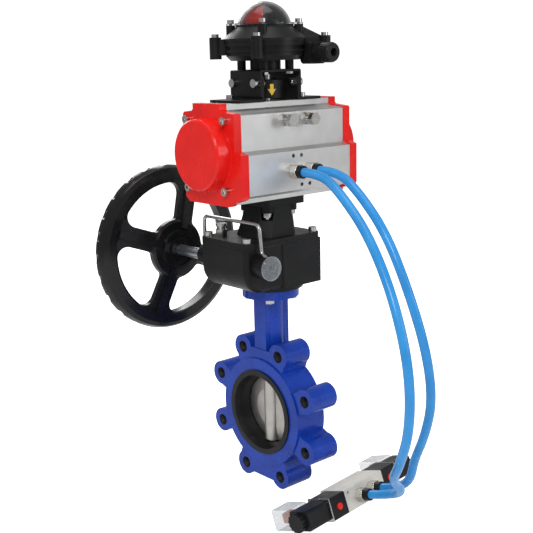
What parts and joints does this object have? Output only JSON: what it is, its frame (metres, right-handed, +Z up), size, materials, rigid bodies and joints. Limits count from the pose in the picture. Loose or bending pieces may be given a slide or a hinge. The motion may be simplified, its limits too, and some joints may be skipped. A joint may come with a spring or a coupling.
{
  "type": "pneumatic actuated valve",
  "caption": "Lug butterfly valve turned by a rack and pinion pneumatic actuator, with a declutchable handwheel gearbox, limit switch box and solenoid valve on air tubes.",
  "frame": {"origin": "centre of the flow bore, on the stem axis", "axes": "+X along the pipe and the actuator, +Z up the stem, +Y towards the handwheel"},
  "size_m": [0.2966, 0.4091, 0.5925],
  "materials": {
    "blue_paint": "satin enamel",
    "black_paint": "satin powder coat",
    "red_paint": "gloss powder coat",
    "red_plastic": "gloss",
    "brushed_aluminium": "brushed, clear anodised",
    "machined_aluminium": "machined",
    "rubber_black": "matte",
    "stainless": "bright",
    "disc_steel": "brushed",
    "steel": "oiled",
    "bronze": "turned",
    "nickel": "bright nickel plate",
    "black_plastic": "matte",
    "tube_blue": "gloss",
    "clear": "clear polycarbonate",
    "smoke": "clear plastic",
    "indicator_black": "satin",
    "white_body": "satin anodised",
    "paper": "matte"
  },
  "bodies": {
    "frame": {"valve_body": "blue_paint", "seat_liner": "rubber_black", "bushes": "bronze", "stem_seal": "rubber_black", "neck_screws": "stainless", "gearbox_housing": "black_paint", "cover_gasket": "paper", "gearbox_cover": "black_paint", "cover_screws": "stainless", "tower_studs": "stainless", "plunger_bush": "stainless", "actuator_body": "brushed_aluminium", "end_caps": "red_paint", "end_cap_bolts": "stainless", "stop_bolts": "stainless", "stop_nuts": "stainless", "tube_fittings": "nickel", "fitting_collars": "black_plastic", "tube_left": "tube_blue", "tube_right": "tube_blue", "bracket_lower": "black_paint", "bracket_upper": "black_paint", "bracket_bolts": "stainless", "switchbox_base": "black_paint", "switchbox_lid": "black_paint", "box_screws": "stainless", "dome": "clear", "dome_screws": "stainless", "micro_switches": "black_plastic", "cable_gland": "black_plastic", "solenoid_body": "white_body", "pilot_blocks": "black_plastic", "yoke_plates": "stainless", "solenoid_coils": "black_plastic", "coil_nuts": "black_plastic", "coil_connectors": "smoke"},
    "drive": {"valve_disc": "disc_steel", "stem": "stainless", "disc_pins": "stainless", "worm_wheel": "bronze", "drive_sleeve": "steel", "pinion": "steel", "stop_cam": "steel", "coupling": "black_plastic", "cam_shaft": "stainless", "indicator_red": "red_plastic", "indicator_black": "indicator_black"},
    "left_piston": {"piston_left": "machined_aluminium"},
    "right_piston": {"piston_right": "machined_aluminium"},
    "clutch": {"eccentric_sleeves": "black_paint", "worm_bearings": "bronze", "clutch_bail": "stainless", "bail_disc": "smoke"},
    "hand": {"worm": "steel", "worm_shaft": "steel", "handwheel": "black_paint", "handwheel_nut": "stainless"},
    "plunger": {"lock_plunger": "stainless"},
    "left_button": {"override_left": "red_plastic"},
    "right_button": {"override_right": "red_plastic"}
  },
  "joints": [
    {"name": "stem_turn", "type": "hinge", "parent": "frame", "child": "drive", "pos_m": [0, 0, 0], "axis": [0, 0, 1], "range_deg": [0, 90]},
    {"name": "left_piston_slide", "type": "slide", "parent": "frame", "child": "left_piston", "axis": [1, 0, 0], "range_m": [-0.0268, 0]},
    {"name": "right_piston_slide", "type": "slide", "parent": "frame", "child": "right_piston", "axis": [1, 0, 0], "range_m": [0, 0.0268]},
    {"name": "clutch_turn", "type": "hinge", "parent": "frame", "child": "clutch", "pos_m": [-0.0475, 0, 0.1865], "axis": [0, -1, 0], "range_deg": [0, 90]},
    {"name": "handwheel_turn", "type": "hinge", "parent": "clutch", "child": "hand", "pos_m": [-0.0505, 0, 0.1865], "axis": [0, 1, 0], "continuous": true},
    {"name": "plunger_pull", "type": "slide", "parent": "frame", "child": "plunger", "axis": [0, 0, 1], "range_m": [0, 0.004], "stiffness_N_per_m": 400, "springref_m": -0.002},
    {"name": "left_override_press", "type": "slide", "parent": "frame", "child": "left_button", "axis": [-0.0513, 0.949, -0.311], "range_m": [0, 0.0015], "stiffness_N_per_m": 800, "springref_m": -0.0005},
    {"name": "right_override_press", "type": "slide", "parent": "frame", "child": "right_button", "axis": [-0.0513, 0.949, -0.311], "range_m": [0, 0.0015], "stiffness_N_per_m": 800, "springref_m": -0.0005}
  ],
  "couplings": [
    {"joint": "left_piston_slide", "follows": "stem_turn", "m_per_rad": -0.017},
    {"joint": "right_piston_slide", "follows": "stem_turn", "m_per_rad": 0.017}
  ]
}
